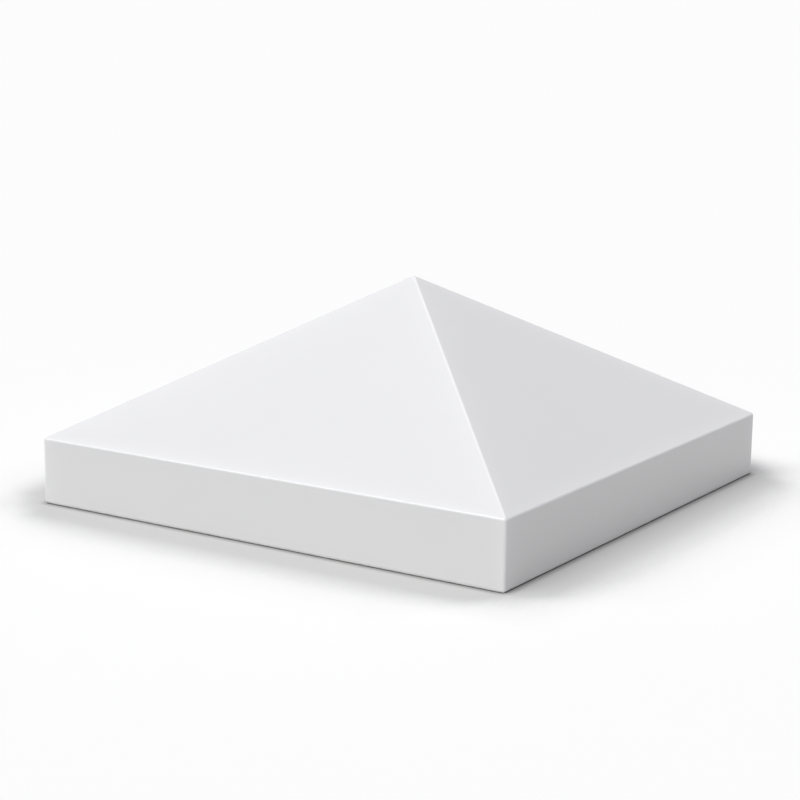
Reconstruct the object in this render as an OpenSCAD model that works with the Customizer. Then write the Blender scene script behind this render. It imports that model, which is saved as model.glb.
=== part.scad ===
// Pyramid newel post cap: one solid casting with a square plan, a plain
// upright band, a four sided roof and a flat underside that is bedded on the
// top of the post. Millimetres, +Z up, origin at the centre of the underside.

/* [Cap] */
// Side of the square plan, measured over the band
cap_side = 355.6; // [200:0.1:500]
// Height of the plain upright band, from the underside to the eave
band_h = 44.45; // [15:0.05:90]
// Rise of the roof from the eave to the point where its four faces would meet
roof_rise = 104.8; // [19:0.05:200]

/* [Edges] */
// Radius of the band's arrises: its four uprights, the eave and the foot
arris_r = 2; // [0.5:0.1:5]
// Radius of the roof's four hips and of its peak
hip_r = 3; // [0.5:0.1:8]

/* [Finish] */
// Colour of the primed casting
cap_colour = "#e8e8e7"; // [#e8e8e7:primer white, #d9d2c3:stone, #8a8c8e:grey]

/* [Hidden] */
$fn = 96;

half_side = cap_side / 2;
peak_z = band_h + roof_rise;
// Slopes from level: of a roof face, and of the hip between two of them
roof_slope = atan(roof_rise / half_side);
hip_slope = atan(roof_rise / (half_side * sqrt(2)));
// Fall of a roof face away to either side of a hip, in the section across it
hip_fall = acos(
    sin(roof_slope) * sin(hip_slope) / sqrt(2) + cos(roof_slope) * cos(hip_slope)
);
// The sections are carried this far, clear past the casting on every side
reach = 2 * cap_side;

// A point at a distance from p, along a bearing in degrees
function along(p, bearing, distance) = p + distance * [cos(bearing), sin(bearing)];

// What a round of radius r takes off the corner at p, whose two edges leave it
// along the bearings a and b. It runs out past the corner, and touches each
// edge only where the round begins.
module corner_waste(p, a, b, r) {
    half_angle = abs(a - b) / 2;
    centre = along(p, (a + b) / 2, r / sin(half_angle));
    start = along(p, a, r / tan(half_angle));
    end = along(p, b, r / tan(half_angle));
    outward = p - centre;
    difference() {
        polygon([centre, start, start + outward, end + outward, end]);
        translate(centre)
            circle(r = r);
    }
}

// Section square to two sides of the cap: foot, band, eave, roof and ridge
module gable_section() {
    foot = [half_side, 0];
    eave = [half_side, band_h];
    peak = [0, peak_z];
    difference() {
        polygon([[-foot[0], 0], foot, eave, peak, [-eave[0], eave[1]]]);
        for (side = [0, 1])
            mirror([side, 0]) {
                corner_waste(foot, 90, 180, arris_r);
                corner_waste(eave, 180 - roof_slope, 270, arris_r);
            }
        corner_waste(peak, 180 + roof_slope, 360 - roof_slope, hip_r);
    }
}

// The gable section carried level across the cap
module gable() {
    rotate([90, 0, 0])
        linear_extrude(height = reach, center = true)
            gable_section();
}

// Plan of the cap, with its four upright arrises rounded
module plan_outline() {
    difference() {
        square(cap_side, center = true);
        for (turn = [0:90:270])
            rotate(turn)
                corner_waste([half_side, half_side], 180, 270, arris_r);
    }
}

// The plan carried upright through the cap
module plan() {
    linear_extrude(height = 2 * reach, center = true)
        plan_outline();
}

// Section across a hip: two roof faces that fall away from its round
module hip_section() {
    edge = [reach * tan(hip_fall), reach];
    difference() {
        polygon([[0, 0], edge, [2 * reach, reach], [2 * reach, -reach], [edge[0], -edge[1]]]);
        corner_waste([0, 0], hip_fall - 90, 90 - hip_fall, hip_r);
    }
}

// The hip section carried down its hip, from past the peak to past the eave
module hip() {
    translate([0, 0, peak_z])
        rotate([0, 90 + hip_slope, 0])
            linear_extrude(height = 2 * reach, center = true)
                hip_section();
}

// The casting is what all these sections share: two gables at right angles,
// the plan, and one section for each of the four hips
module newel_cap() {
    color(cap_colour)
        intersection() {
            gable();
            rotate(90)
                gable();
            plan();
            rotate(45)
                hip();
            rotate(135)
                hip();
            rotate(225)
                hip();
            rotate(315)
                hip();
        }
}

newel_cap();
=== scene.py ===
"""Pyramid newel post cap: the primed casting, its stage and its camera.

The casting is one surface worked out on a grid. One parameter runs round the
cap, and the other runs up its gable section from the middle of the underside to
the peak. Metres, +Z up, with the origin at the centre of the underside.
"""

import math

import bpy
import numpy as np
from bpy.props import FloatProperty, FloatVectorProperty, IntProperty, PointerProperty
from mathutils import Matrix, Vector


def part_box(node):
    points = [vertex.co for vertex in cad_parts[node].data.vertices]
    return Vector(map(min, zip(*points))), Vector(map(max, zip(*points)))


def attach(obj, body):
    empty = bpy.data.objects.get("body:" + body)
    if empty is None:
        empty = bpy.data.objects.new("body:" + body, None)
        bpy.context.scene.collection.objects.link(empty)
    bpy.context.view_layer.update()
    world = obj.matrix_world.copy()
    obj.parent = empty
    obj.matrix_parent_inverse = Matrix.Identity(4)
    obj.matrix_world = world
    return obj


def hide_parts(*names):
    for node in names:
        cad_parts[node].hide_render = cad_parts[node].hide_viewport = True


bl_info = {
    "name": "Pyramid newel post cap",
    "version": (1, 0, 0),
    "blender": (4, 5, 0),
    "location": "3D View > Sidebar > Post Cap",
    "description": "Builds a moulded pyramid post cap with soft arrises, on a plain white stage",
    "category": "Object",
}

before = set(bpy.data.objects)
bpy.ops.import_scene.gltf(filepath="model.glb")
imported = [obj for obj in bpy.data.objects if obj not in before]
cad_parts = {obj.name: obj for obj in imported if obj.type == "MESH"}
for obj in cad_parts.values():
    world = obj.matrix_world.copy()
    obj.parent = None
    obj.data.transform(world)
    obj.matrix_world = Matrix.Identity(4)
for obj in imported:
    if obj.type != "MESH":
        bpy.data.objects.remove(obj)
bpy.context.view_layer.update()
NODE = "newel_cap"
BODY = "root"
# Attribute names: the arris mask, which smooths the rounds and paints a highlight on them, and the
# painted sheen, a lighter tone beside the hips, uprights and eaves
ARRIS_AND_HIGHLIGHT_MASK = "arris"
PAINTED_SHEEN_MASK = "painted sheen"
IMAGE_SIDE = 800

# The colour sockets of a Mix node: its two inputs and its output
MIX_A = 6
MIX_B = 7
MIX_RESULT = 2

# A +X roof face has at least this much of its unit normal outwards and upwards,
# and at most this much along the eave
LEAST_PART = 0.05
MOST_SKEW = 0.001


def roof_heights(node):
    """Heights at which the plane of the node's +X roof face passes over its side and its centre.

    The face is the one with the largest area. A point on it, taken along its
    normal, gives the plane's level. The height over a place is the level less
    the normal's outward part times the way out, over its upward part.
    """
    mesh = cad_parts[node].data
    normals = np.empty(len(mesh.polygons) * 3)
    centres = np.empty(len(mesh.polygons) * 3)
    areas = np.empty(len(mesh.polygons))
    mesh.polygons.foreach_get("normal", normals)
    mesh.polygons.foreach_get("center", centres)
    mesh.polygons.foreach_get("area", areas)
    normals = normals.reshape(-1, 3)
    centres = centres.reshape(-1, 3)
    out, along, up = normals.T
    on_roof = (out > LEAST_PART) & (up > LEAST_PART) & (abs(along) < MOST_SKEW)
    pick = np.argmax(np.where(on_roof, areas, 0.0))
    normal = normals[pick]
    level = normal @ centres[pick]
    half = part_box(node)[1].x
    return (level - normal[0] * half) / normal[2], level / normal[2]


EAVE_HEIGHT, PEAK_HEIGHT = roof_heights(NODE)


class PostCapSizes(bpy.types.PropertyGroup):
    """Sizes of the casting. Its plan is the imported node's."""

    eave_height: FloatProperty(
        name="Eave height",
        description="Height of the upright band, from the underside to the eave",
        default=EAVE_HEIGHT,
        min=0.01,
        unit="LENGTH",
    )
    peak_height: FloatProperty(
        name="Peak height",
        description="Height at which the four roof faces would meet",
        default=PEAK_HEIGHT,
        min=0.02,
        unit="LENGTH",
    )
    arris_round: FloatProperty(
        name="Arris round",
        description="Radius of the band's uprights, eave and foot",
        default=0.002,
        min=0.0002,
        unit="LENGTH",
    )
    hip_round: FloatProperty(
        name="Hip round",
        description="Radius along the roof's hips and at its peak",
        default=0.003,
        min=0.0002,
        unit="LENGTH",
    )
    round_steps: IntProperty(
        name="Steps in a round",
        description="Faces across each rounded arris",
        default=10,
        min=2,
    )
    side_steps: IntProperty(
        name="Steps along a side",
        description="Faces along each side between two uprights",
        default=30,
        min=6,
    )


class PostCapFinish(bpy.types.PropertyGroup):
    """Finish of the casting."""

    primer: FloatVectorProperty(
        name="Primer",
        description="Colour of the sprayed primer",
        subtype="COLOR",
        size=3,
        min=0.0,
        max=1.0,
        default=(0.82, 0.82, 0.82),
    )
    roughness: FloatProperty(
        name="Roughness",
        description="Roughness of the flat faces",
        default=0.42,
        min=0.0,
        max=1.0,
        subtype="FACTOR",
    )


class PostCapStage(bpy.types.PropertyGroup):
    """Ground, lamps and sky of the stage."""

    ground: FloatVectorProperty(
        name="Ground",
        description="Colour of the ground as the camera sees it",
        subtype="COLOR",
        size=3,
        min=0.0,
        max=1.0,
        default=(0.985, 0.985, 0.965),
    )
    ground_bounce: FloatProperty(
        name="Ground bounce",
        description="Share of its colour with which the ground lights the casting",
        default=0.77,
        min=0.0,
        max=1.0,
        subtype="FACTOR",
    )
    ground_side: FloatProperty(
        name="Ground side",
        description="Side of the square ground",
        default=60.0,
        min=1.0,
        unit="LENGTH",
    )
    ground_lift: FloatProperty(
        name="Ground lift",
        description="Light added to the ground as the camera sees it, to bring it up to white",
        default=0.085,
        min=0.0,
        max=1.0,
    )
    contact_shade: FloatProperty(
        name="Contact shade",
        description="Share of the ground's brightness that is left in the soft shade",
        default=0.63,
        min=0.1,
        max=1.0,
    )
    contact_reach: FloatProperty(
        name="Contact reach",
        description="How far from the casting its soft contact shade reaches",
        default=0.11,
        min=0.0,
        unit="LENGTH",
    )
    sky: FloatProperty(
        name="Sky",
        description="Strength of the even light from all round",
        default=0.17,
        min=0.0,
    )


def link(tree, source, target):
    """Joins two sockets of a node tree."""
    tree.links.new(source, target)


def add_node(tree, kind, place, **settings):
    """A node of a kind at a place in the tree, with its settings."""
    made = tree.nodes.new(kind)
    made.location = place
    for name, value in settings.items():
        setattr(made, name, value)
    return made


# The casting

# Shares of an eave's arris mask, which smooths a round and paints a highlight on it, that the
# foot, and the hips with the peak, have
FOOT_SHINE = 0.5
HIP_SHINE = 0.5

# How far the painted sheen, a lighter tone that stands in for light, reaches in plan from a hip,
# an upright and an eave, and the share of it that a hip has
HIP_REACH = 0.014
UPRIGHT_REACH = 0.005
EAVE_REACH = 0.0045
HIP_PAINTED_SHEEN = 0.6

# Samples across the underside, up the band and up the roof
UNDER_SAMPLES = 16
BAND_SAMPLES = 14
ROOF_SAMPLES = 50

# Rings and points that hold the shading flat beside a round: shares of the
# arris radius on the band, of the roof's length at its start and its end, and
# of a side's half length. The underside's corners have a share of the arris
# radius.
BAND_HOLD = 0.3
ROOF_HOLDS = (0.003, 0.994)
SIDE_HOLD = 0.998
UNDER_CORNER = 0.05


def gable_samples(sizes, half):
    """Samples up the gable section: half width, height, corner radius and arris mask.

    The underside runs out from the centre to the foot. The foot turns a quarter
    circle, and the band stands plumb. The eave turns from level to the roof's
    normal, and the roof runs straight up to the peak's round. Corner radius is
    the plan radius of the ring at that height. On the roof it is the hip
    radius times the sine of the slope, the width that a round of that radius
    has in plan, so it meets the peak's round as a full circle.
    """
    arris, hip = sizes.arris_round, sizes.hip_round
    steps = sizes.round_steps
    slope = math.atan2(sizes.peak_height - sizes.eave_height, half)
    least = UNDER_CORNER * arris

    out = 0.5 - 0.5 * np.cos(np.linspace(0.0, math.pi, UNDER_SAMPLES))[1:-1]
    under = np.stack([out * (half - arris), 0 * out, out * least, 0 * out])

    turn = np.linspace(0.0, math.pi / 2, steps + 1)
    foot = np.stack([
        half - arris + arris * np.sin(turn),
        arris - arris * np.cos(turn),
        np.maximum(arris * np.sin(turn), least),
        FOOT_SHINE * np.sin(2 * turn),
    ])

    eave_centre = sizes.eave_height - arris * math.tan((math.pi / 2 - slope) / 2)
    hold = BAND_HOLD * arris
    rise = np.linspace(arris, eave_centre, BAND_SAMPLES)
    rise = np.concatenate([[rise[0] + hold], rise[1:-1], [rise[-1] - hold]])
    band = np.stack([0 * rise + half, rise, 0 * rise + arris, 0 * rise])

    part = np.linspace(0.0, 1.0, steps + 1)
    turn = part * (math.pi / 2 - slope)
    eave = np.stack([
        half - arris + arris * np.cos(turn),
        eave_centre + arris * np.sin(turn),
        (arris + (hip - arris) * part) * np.cos(turn),
        np.sin(math.pi * part),
    ])

    peak_centre = sizes.peak_height - hip / math.cos(slope)
    start = eave[:2, -1]
    end = np.array([hip * math.sin(slope), peak_centre + hip * math.cos(slope)])
    part = np.linspace(0.0, 1.0, ROOF_SAMPLES)
    part = np.concatenate([ROOF_HOLDS[:1], part[1:-1], ROOF_HOLDS[1:]])
    roof = np.stack([
        start[0] + (end[0] - start[0]) * part,
        start[1] + (end[1] - start[1]) * part,
        0 * part + end[0],
        0 * part,
    ])

    turn = np.linspace(slope, 0.0, steps + 1)[:-1]
    peak = np.stack([
        hip * np.sin(turn),
        peak_centre + hip * np.cos(turn),
        hip * np.sin(turn),
        0 * turn + HIP_SHINE,
    ])
    return np.concatenate([under, foot, band, eave, roof, peak], axis=1), peak_centre + hip


def ring_samples(sizes):
    """Samples round a quarter of a ring: side share, corner angle and round mask.

    Along the corner the share stays at one and the angle turns a quarter
    circle. Along the side that follows, the share runs from one to minus one,
    closer together near its ends, and the angle stays square to the side.
    """
    steps = sizes.round_steps
    turn = np.linspace(0.0, math.pi / 2, steps + 1)
    side = np.cos(np.linspace(0.0, math.pi, sizes.side_steps + 1)[1:-1])
    share = np.concatenate([[SIDE_HOLD], side, [-SIDE_HOLD]])
    angle = np.concatenate([turn, np.full(len(share), math.pi / 2)])
    round_mask = np.concatenate([np.sin(2 * turn), 0 * share])
    return np.concatenate([np.ones(len(turn)), share]), angle, round_mask


def casting_surface(sizes, half):
    """Vertices, faces, arris mask and painted sheen of the casting.

    Each ring is a square of the section's half width with its corners rounded.
    A point lies at the corner centre, its first coordinate times the side
    share, plus the corner radius along the corner angle. Four quarter turns of
    the same samples close the ring, and a single point closes each pole. The
    painted sheen, a lighter tone that stands in for light beside the arrises,
    falls off as the exponential of the distance in plan from the nearest
    diagonal, which is where the hips and the uprights stand, and on the roof
    also as that of the distance from the eave, whichever is more.
    """
    section, top = gable_samples(sizes, half)
    width, height, radius, section_mask = (row[:, None] for row in section)
    share, angle, round_mask = ring_samples(sizes)
    along = (width - radius) * share + radius * np.cos(angle)
    across = (width - radius) + radius * np.sin(angle)
    turns = [(along, across), (-across, along), (-along, -across), (across, -along)]
    x = np.concatenate([first for first, _ in turns], axis=1)
    y = np.concatenate([second for _, second in turns], axis=1)
    z = height + 0 * x
    on_roof = height > sizes.eave_height
    # The arris mask smooths and coats the rounds, and lightens their tone as a painted highlight
    corner_mask = np.tile(round_mask, 4) * np.where(on_roof, HIP_SHINE, 1.0)
    mask = np.maximum(section_mask, corner_mask)
    # Painted sheen: a lighter tone beside the hips, uprights and eaves that stands in for light
    # falling there
    off_diagonal = abs(abs(x) - abs(y)) / math.sqrt(2)
    upright_sheen = np.exp(-off_diagonal / UPRIGHT_REACH)
    hip_sheen = HIP_PAINTED_SHEEN * np.exp(-off_diagonal / HIP_REACH)
    eave_sheen = np.exp((width - half) / EAVE_REACH)
    painted_sheen = np.where(on_roof, np.maximum(hip_sheen, eave_sheen), upright_sheen)
    rings, points = x.shape

    verts = np.stack([x, y, z], axis=2).reshape(-1, 3)
    verts = np.concatenate([[[0.0, 0.0, 0.0]], verts, [[0.0, 0.0, top]]])
    mask = np.concatenate([[0.0], mask.ravel(), [HIP_SHINE]])
    painted_sheen = np.concatenate([[0.0], painted_sheen.ravel(), [HIP_PAINTED_SHEEN]])

    index = 1 + np.arange(rings * points).reshape(rings, points)
    following = np.roll(index, -1, axis=1)
    quads = np.stack([index[:-1], following[:-1], following[1:], index[1:]], axis=2)
    bottom = np.stack([following[0], index[0], np.zeros(points, int)], axis=1)
    crown = np.stack([index[-1], following[-1], np.full(points, len(verts) - 1)], axis=1)
    faces = quads.reshape(-1, 4).tolist() + bottom.tolist() + crown.tolist()
    return verts, faces, mask, painted_sheen


# The primer

# What an arris adds to its tone as a painted highlight, and what the painted sheen beside the
# hips, uprights and eaves adds to it, what an arris takes from its roughness, and how far its
# roughness drifts
ARRIS_PAINTED_HIGHLIGHT = 0.07
PAINTED_SHEEN_TONE = 0.075
ARRIS_POLISH = 0.2
ROUGHNESS_DRIFT = 0.12

# Its coat on the flat faces, what an arris adds to it, and the coat's roughness
FLAT_COAT = 0.1
ARRIS_COAT = 0.9
COAT_ROUGHNESS = 0.2

# Index of refraction, and the height of the orange peel
PRIMER_IOR = 1.5
PEEL_HEIGHT = 0.00001

# Detail of the noises that make the clouds and the orange peel
CLOUD_DETAIL = 2.0
PEEL_DETAIL = 3.0


def primer_group():
    """Sprayed primer, as a group: a tone and a roughness that drift, and a height."""
    tree = bpy.data.node_groups.new("Sprayed primer", "ShaderNodeTree")
    face = tree.interface
    face.new_socket("Vector", in_out="INPUT", socket_type="NodeSocketVector")
    for name, value in (("Drift", 0.02), ("Cloud size", 0.07), ("Peel size", 0.0016)):
        face.new_socket(name, in_out="INPUT", socket_type="NodeSocketFloat").default_value = value
    for name in ("Tone", "Gloss change", "Height"):
        face.new_socket(name, in_out="OUTPUT", socket_type="NodeSocketFloat")

    entry = add_node(tree, "NodeGroupInput", (-900, 0))
    leave = add_node(tree, "NodeGroupOutput", (700, 0))

    def noise(size, detail, place):
        """Noise whose features are about as large as a size socket says."""
        scale = add_node(tree, "ShaderNodeMath", (place[0] - 200, place[1]), operation="DIVIDE")
        scale.inputs[0].default_value = 1.0
        link(tree, size, scale.inputs[1])
        made = add_node(tree, "ShaderNodeTexNoise", place)
        made.inputs["Detail"].default_value = detail
        link(tree, entry.outputs["Vector"], made.inputs["Vector"])
        link(tree, scale.outputs[0], made.inputs["Scale"])
        return made.outputs["Fac"]

    cloud = noise(entry.outputs["Cloud size"], CLOUD_DETAIL, (-400, 250))
    peel = noise(entry.outputs["Peel size"], PEEL_DETAIL, (-400, -150))

    centred = add_node(tree, "ShaderNodeMath", (-100, 250), operation="SUBTRACT")
    centred.inputs[1].default_value = 0.5
    link(tree, cloud, centred.inputs[0])
    drift = add_node(tree, "ShaderNodeMath", (100, 250), operation="MULTIPLY_ADD")
    drift.inputs[2].default_value = 1.0
    link(tree, centred.outputs[0], drift.inputs[0])
    link(tree, entry.outputs["Drift"], drift.inputs[1])
    link(tree, drift.outputs[0], leave.inputs["Tone"])

    gloss = add_node(tree, "ShaderNodeMath", (100, 50), operation="MULTIPLY")
    gloss.inputs[1].default_value = ROUGHNESS_DRIFT
    link(tree, centred.outputs[0], gloss.inputs[0])
    link(tree, gloss.outputs[0], leave.inputs["Gloss change"])
    link(tree, peel, leave.inputs["Height"])
    return tree


def primer_material(finish):
    """White satin primer over moulded urethane, smoother on its rounds and a little brighter there
    as a painted highlight, with a painted sheen beside them.
    """
    made = bpy.data.materials.new("primed urethane")
    made.use_nodes = True
    tree = made.node_tree
    shader = tree.nodes["Principled BSDF"]
    shader.inputs["IOR"].default_value = PRIMER_IOR
    shader.inputs["Coat Roughness"].default_value = COAT_ROUGHNESS

    place = add_node(tree, "ShaderNodeTexCoord", (-1100, 0))
    spray = add_node(tree, "ShaderNodeGroup", (-850, 0))
    spray.node_tree = primer_group()
    link(tree, place.outputs["Object"], spray.inputs["Vector"])

    # On the rounds the arris mask adds a painted highlight to the tone, takes roughness off and
    # adds coat
    arris = add_node(tree, "ShaderNodeAttribute", (-850, 300), attribute_name=ARRIS_AND_HIGHLIGHT_MASK)
    painted_highlight = add_node(tree, "ShaderNodeMath", (-620, 300), operation="MULTIPLY_ADD")
    painted_highlight.inputs[1].default_value = ARRIS_PAINTED_HIGHLIGHT
    link(tree, arris.outputs["Fac"], painted_highlight.inputs[0])
    link(tree, spray.outputs["Tone"], painted_highlight.inputs[2])
    # Painted sheen: the tone is lighter beside the hips, uprights and eaves
    painted_sheen = add_node(tree, "ShaderNodeAttribute", (-850, 480), attribute_name=PAINTED_SHEEN_MASK)
    sheen_added = add_node(tree, "ShaderNodeMath", (-500, 420), operation="MULTIPLY_ADD")
    sheen_added.inputs[1].default_value = PAINTED_SHEEN_TONE
    link(tree, painted_sheen.outputs["Fac"], sheen_added.inputs[0])
    link(tree, painted_highlight.outputs[0], sheen_added.inputs[2])
    colour = add_node(tree, "ShaderNodeMix", (-330, 300), data_type="RGBA", blend_type="MULTIPLY")
    colour.inputs["Factor"].default_value = 1.0
    colour.inputs[MIX_A].default_value = (*finish.primer, 1.0)
    link(tree, sheen_added.outputs[0], colour.inputs[MIX_B])
    link(tree, colour.outputs[MIX_RESULT], shader.inputs["Base Color"])

    worn = add_node(tree, "ShaderNodeMath", (-620, 80), operation="MULTIPLY_ADD")
    worn.inputs[1].default_value = -ARRIS_POLISH
    worn.inputs[2].default_value = finish.roughness
    link(tree, arris.outputs["Fac"], worn.inputs[0])
    rough = add_node(tree, "ShaderNodeMath", (-380, 60), operation="ADD")
    link(tree, worn.outputs[0], rough.inputs[0])
    link(tree, spray.outputs["Gloss change"], rough.inputs[1])
    link(tree, rough.outputs[0], shader.inputs["Roughness"])

    glaze = add_node(tree, "ShaderNodeMath", (-380, -80), operation="MULTIPLY_ADD")
    glaze.inputs[1].default_value = ARRIS_COAT
    glaze.inputs[2].default_value = FLAT_COAT
    link(tree, arris.outputs["Fac"], glaze.inputs[0])
    link(tree, glaze.outputs[0], shader.inputs["Coat Weight"])

    bump = add_node(tree, "ShaderNodeBump", (-380, -260))
    bump.inputs["Strength"].default_value = 1.0
    bump.inputs["Distance"].default_value = PEEL_HEIGHT
    link(tree, spray.outputs["Height"], bump.inputs["Height"])
    link(tree, bump.outputs["Normal"], shader.inputs["Normal"])
    return made


class POSTCAP_OT_casting(bpy.types.Operator):
    """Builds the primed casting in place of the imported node"""

    bl_idname = "postcap.casting"
    bl_label = "Post Cap Casting"

    def execute(self, context):
        sizes = context.scene.post_cap_sizes
        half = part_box(NODE)[1].x
        verts, faces, mask, painted_sheen = casting_surface(sizes, half)
        mesh = bpy.data.meshes.new("cap_casting")
        mesh.from_pydata(verts.tolist(), [], faces)
        mesh.polygons.foreach_set("use_smooth", np.ones(len(mesh.polygons), bool))
        for name, values in ((ARRIS_AND_HIGHLIGHT_MASK, mask), (PAINTED_SHEEN_MASK, painted_sheen)):
            layer = mesh.attributes.new(name, "FLOAT", "POINT")
            layer.data.foreach_set("value", values.astype(np.float32))
        mesh.materials.append(primer_material(context.scene.post_cap_finish))
        mesh.update()
        piece = bpy.data.objects.new("cap_casting", mesh)
        context.scene.collection.objects.link(piece)
        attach(piece, BODY)
        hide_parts(NODE)
        return {"FINISHED"}


# The stage

# Parallel lamps: name, direction towards the lamp, strength as the brightness
# it gives a white face square to it, breadth in degrees, and colour
LAMPS = (
    ("overhead softbox", (0.0, 0.0, 1.0), 0.27, 100.0, (0.98, 0.98, 1.08)),
    ("front left softbox", (-0.06, -0.270, 0.385), 0.466, 40.0, (1.0, 1.0, 1.0)),
    ("left softbox", (-0.58, -0.56, 0.60), 0.09, 30.0, (1.0, 1.0, 1.0)),
    ("back softbox", (-0.23, 0.52, 0.815), 0.045, 30.0, (1.0, 1.0, 1.0)),
)

# How far from the origin the lamps stand, which makes no difference to their light
LAMP_PLACE = 2.0

# Soft shade on the ground beside the casting: the open shares of the sky at
# which it is full and at which it ends, and the samples taken
FULL_SHADE = 0.79
END_SHADE = 0.94
SHADE_SAMPLES = 16

# Painted shade line on the ground at the foot: its reach, and the samples taken
LINE_REACH = 0.006
LINE_SAMPLES = 4

# Strength of the white sky where the camera sees it
SKY_SEEN = 0.98

# Camera, found by fitting the cap's seven visible corners in the photograph.
# Angles in degrees, with azimuth 0 looking along +Y; lengths in metres.
CAMERA_AZIMUTH = 32.735
CAMERA_ELEVATION = 11.909
CAMERA_ROLL = 0.70
CAMERA_DISTANCE = 1.4303
CAMERA_AIM_RIGHT = -0.00822
CAMERA_AIM_UP = 0.06090
FOCAL_PIXELS = 2055.3
SENSOR_WIDTH = 36.0
CLIP_END = 200.0


def add_camera(scene):
    """Camera at the photograph's place, rolled, and aimed a little above and beside the origin."""
    azimuth, elevation = math.radians(CAMERA_AZIMUTH), math.radians(CAMERA_ELEVATION)
    right = Vector((math.cos(azimuth), math.sin(azimuth), 0.0))
    back = Vector((
        math.sin(azimuth) * math.cos(elevation),
        -math.cos(azimuth) * math.cos(elevation),
        math.sin(elevation),
    ))
    up = back.cross(right)
    place = right * CAMERA_AIM_RIGHT + up * CAMERA_AIM_UP + back * CAMERA_DISTANCE
    data = bpy.data.cameras.new("product camera")
    data.sensor_width = SENSOR_WIDTH
    data.lens = FOCAL_PIXELS / IMAGE_SIDE * SENSOR_WIDTH
    data.clip_end = CLIP_END
    camera = bpy.data.objects.new("product camera", data)
    level = Matrix((right, up, back)).transposed()
    roll = Matrix.Rotation(math.radians(CAMERA_ROLL), 3, "Z")
    camera.matrix_world = Matrix.Translation(place) @ (level @ roll).to_4x4()
    scene.collection.objects.link(camera)
    scene.camera = camera


def seen_directly(tree, place):
    """Socket that is one for rays from the camera, a gloss or a glass, and nought for the rest."""
    path = add_node(tree, "ShaderNodeLightPath", place)
    seen = path.outputs["Is Camera Ray"]
    for step, name in enumerate(("Is Glossy Ray", "Is Transmission Ray")):
        beside = (place[0] + 180, place[1] - 180 * step)
        either = add_node(tree, "ShaderNodeMath", beside, operation="MAXIMUM")
        link(tree, seen, either.inputs[0])
        link(tree, path.outputs[name], either.inputs[1])
        seen = either.outputs[0]
    return seen


def ground_material(look):
    """White ground that takes the casting's shadow, with a soft shade and a dark line at its foot.

    Both shades come from how much of the sky a point sees within their reach,
    and only the rays that see the ground directly find them. The others find
    the ground's plain colour, times the bounce.
    """
    made = bpy.data.materials.new("white ground")
    made.use_nodes = True
    tree = made.node_tree
    tree.nodes.remove(tree.nodes["Principled BSDF"])
    out = tree.nodes["Material Output"]

    seen = seen_directly(tree, (-900, -150))
    broad = add_node(tree, "ShaderNodeAmbientOcclusion", (-1100, 100), samples=SHADE_SAMPLES)
    broad.inputs["Distance"].default_value = look.contact_reach
    ramp = add_node(tree, "ShaderNodeMapRange", (-900, 100), interpolation_type="SMOOTHSTEP")
    ramp.inputs["From Min"].default_value = FULL_SHADE
    ramp.inputs["From Max"].default_value = END_SHADE
    ramp.inputs["To Min"].default_value = look.contact_shade
    ramp.inputs["To Max"].default_value = 1.0
    link(tree, broad.outputs["AO"], ramp.inputs["Value"])
    # Painted shade: a dark line on the ground at the casting's foot
    line = add_node(tree, "ShaderNodeAmbientOcclusion", (-1100, 400), samples=LINE_SAMPLES)
    line.inputs["Distance"].default_value = LINE_REACH
    darkest = add_node(tree, "ShaderNodeMath", (-700, 250), operation="MULTIPLY")
    link(tree, ramp.outputs["Result"], darkest.inputs[0])
    link(tree, line.outputs["AO"], darkest.inputs[1])
    shade = add_node(tree, "ShaderNodeMath", (-520, 200), operation="POWER")
    link(tree, darkest.outputs[0], shade.inputs[0])
    link(tree, seen, shade.inputs[1])
    bounce = add_node(tree, "ShaderNodeMath", (-480, 280), operation="MULTIPLY_ADD")
    bounce.inputs[1].default_value = 1.0 - look.ground_bounce
    bounce.inputs[2].default_value = look.ground_bounce
    link(tree, seen, bounce.inputs[0])
    both_ways = add_node(tree, "ShaderNodeMath", (-380, 200), operation="MULTIPLY")
    link(tree, bounce.outputs[0], both_ways.inputs[0])
    link(tree, shade.outputs[0], both_ways.inputs[1])
    tint = add_node(tree, "ShaderNodeMix", (-220, 150), data_type="RGBA", blend_type="MULTIPLY")
    tint.inputs["Factor"].default_value = 1.0
    tint.inputs[MIX_A].default_value = (*look.ground, 1.0)
    link(tree, both_ways.outputs[0], tint.inputs[MIX_B])
    matt = add_node(tree, "ShaderNodeBsdfDiffuse", (-60, 150))
    link(tree, tint.outputs[MIX_RESULT], matt.inputs["Color"])

    lift = add_node(tree, "ShaderNodeMath", (-480, -100), operation="MULTIPLY")
    lift.inputs[1].default_value = look.ground_lift
    link(tree, seen, lift.inputs[0])
    glow = add_node(tree, "ShaderNodeEmission", (-60, -50))
    link(tree, shade.outputs[0], glow.inputs["Color"])
    link(tree, lift.outputs[0], glow.inputs["Strength"])
    both = add_node(tree, "ShaderNodeAddShader", (150, 100))
    link(tree, matt.outputs[0], both.inputs[0])
    link(tree, glow.outputs[0], both.inputs[1])
    link(tree, both.outputs[0], out.inputs["Surface"])
    return made


def add_ground(scene, look):
    """Square ground at the height that the casting rests on."""
    reach = look.ground_side / 2
    mesh = bpy.data.meshes.new("ground")
    signs = ((-1, -1), (1, -1), (1, 1), (-1, 1))
    corners = [(x * reach, y * reach, 0.0) for x, y in signs]
    mesh.from_pydata(corners, [], [(0, 1, 2, 3)])
    mesh.materials.append(ground_material(look))
    ground = bpy.data.objects.new("ground", mesh)
    scene.collection.objects.link(ground)


def add_lamp(scene, name, towards, strength, breadth, colour):
    """Parallel lamp. A white face square to its light takes the strength as its brightness."""
    data = bpy.data.lights.new(name, "SUN")
    data.energy = strength * math.pi
    data.angle = math.radians(breadth)
    data.color = colour
    lamp = bpy.data.objects.new(name, data)
    lamp.rotation_euler = Vector(towards).to_track_quat("Z", "Y").to_euler()
    lamp.location = Vector(towards).normalized() * LAMP_PLACE
    scene.collection.objects.link(lamp)


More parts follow.
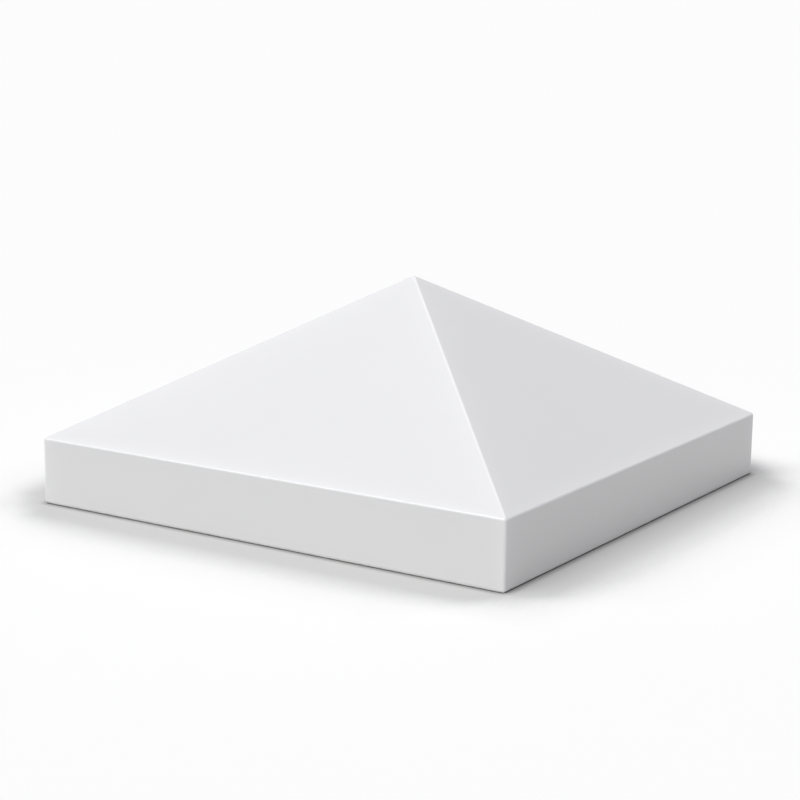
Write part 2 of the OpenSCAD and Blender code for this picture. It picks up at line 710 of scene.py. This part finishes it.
def add_sky(scene, look):
    """Even sky for the light, and a white one where the camera sees past the ground."""
    world = bpy.data.worlds.new("white sky")
    world.use_nodes = True
    scene.world = world
    tree = world.node_tree
    tree.nodes.clear()
    out = add_node(tree, "ShaderNodeOutputWorld", (400, 0))
    lit = add_node(tree, "ShaderNodeBackground", (0, 100))
    lit.inputs["Strength"].default_value = look.sky
    seen = add_node(tree, "ShaderNodeBackground", (0, -100))
    seen.inputs["Strength"].default_value = SKY_SEEN
    for one in (lit, seen):
        one.inputs["Color"].default_value = (1.0, 1.0, 1.0, 1.0)
    pick = add_node(tree, "ShaderNodeMixShader", (200, 0))
    link(tree, seen_directly(tree, (-300, 300)), pick.inputs[0])
    link(tree, lit.outputs[0], pick.inputs[1])
    link(tree, seen.outputs[0], pick.inputs[2])
    link(tree, pick.outputs[0], out.inputs["Surface"])


class POSTCAP_OT_stage(bpy.types.Operator):
    """Sets out the ground, the lamps, the sky and the camera"""

    bl_idname = "postcap.stage"
    bl_label = "Post Cap Stage"

    def execute(self, context):
        scene = context.scene
        look = scene.post_cap_stage
        scene.view_settings.view_transform = "Standard"
        add_ground(scene, look)
        for lamp in LAMPS:
            add_lamp(scene, *lamp)
        add_sky(scene, look)
        add_camera(scene)
        return {"FINISHED"}


class POSTCAP_PT_sidebar(bpy.types.Panel):
    """Lists the post cap's operators and sizes"""

    bl_idname = "POSTCAP_PT_sidebar"
    bl_label = "Post Cap"
    bl_space_type = "VIEW_3D"
    bl_region_type = "UI"
    bl_category = "Post Cap"

    def draw(self, context):
        layout = self.layout
        for group in (
            context.scene.post_cap_sizes,
            context.scene.post_cap_finish,
            context.scene.post_cap_stage,
        ):
            box = layout.box()
            for name in group.__annotations__:
                box.prop(group, name)
        layout.operator(POSTCAP_OT_casting.bl_idname)
        layout.operator(POSTCAP_OT_stage.bl_idname)


CLASSES = (
    PostCapSizes,
    PostCapFinish,
    PostCapStage,
    POSTCAP_OT_casting,
    POSTCAP_OT_stage,
    POSTCAP_PT_sidebar,
)


def register():
    """Registers the classes and hangs the property groups on the scene."""
    for cls in CLASSES:
        bpy.utils.register_class(cls)
    bpy.types.Scene.post_cap_sizes = PointerProperty(type=PostCapSizes)
    bpy.types.Scene.post_cap_finish = PointerProperty(type=PostCapFinish)
    bpy.types.Scene.post_cap_stage = PointerProperty(type=PostCapStage)


def unregister():
    """Takes the property groups and the classes away again."""
    del bpy.types.Scene.post_cap_stage
    del bpy.types.Scene.post_cap_finish
    del bpy.types.Scene.post_cap_sizes
    for cls in reversed(CLASSES):
        bpy.utils.unregister_class(cls)


def main():
    """Builds the casting and its stage."""
    register()
    bpy.ops.postcap.casting()
    bpy.ops.postcap.stage()


if __name__ == "__main__":
    main()
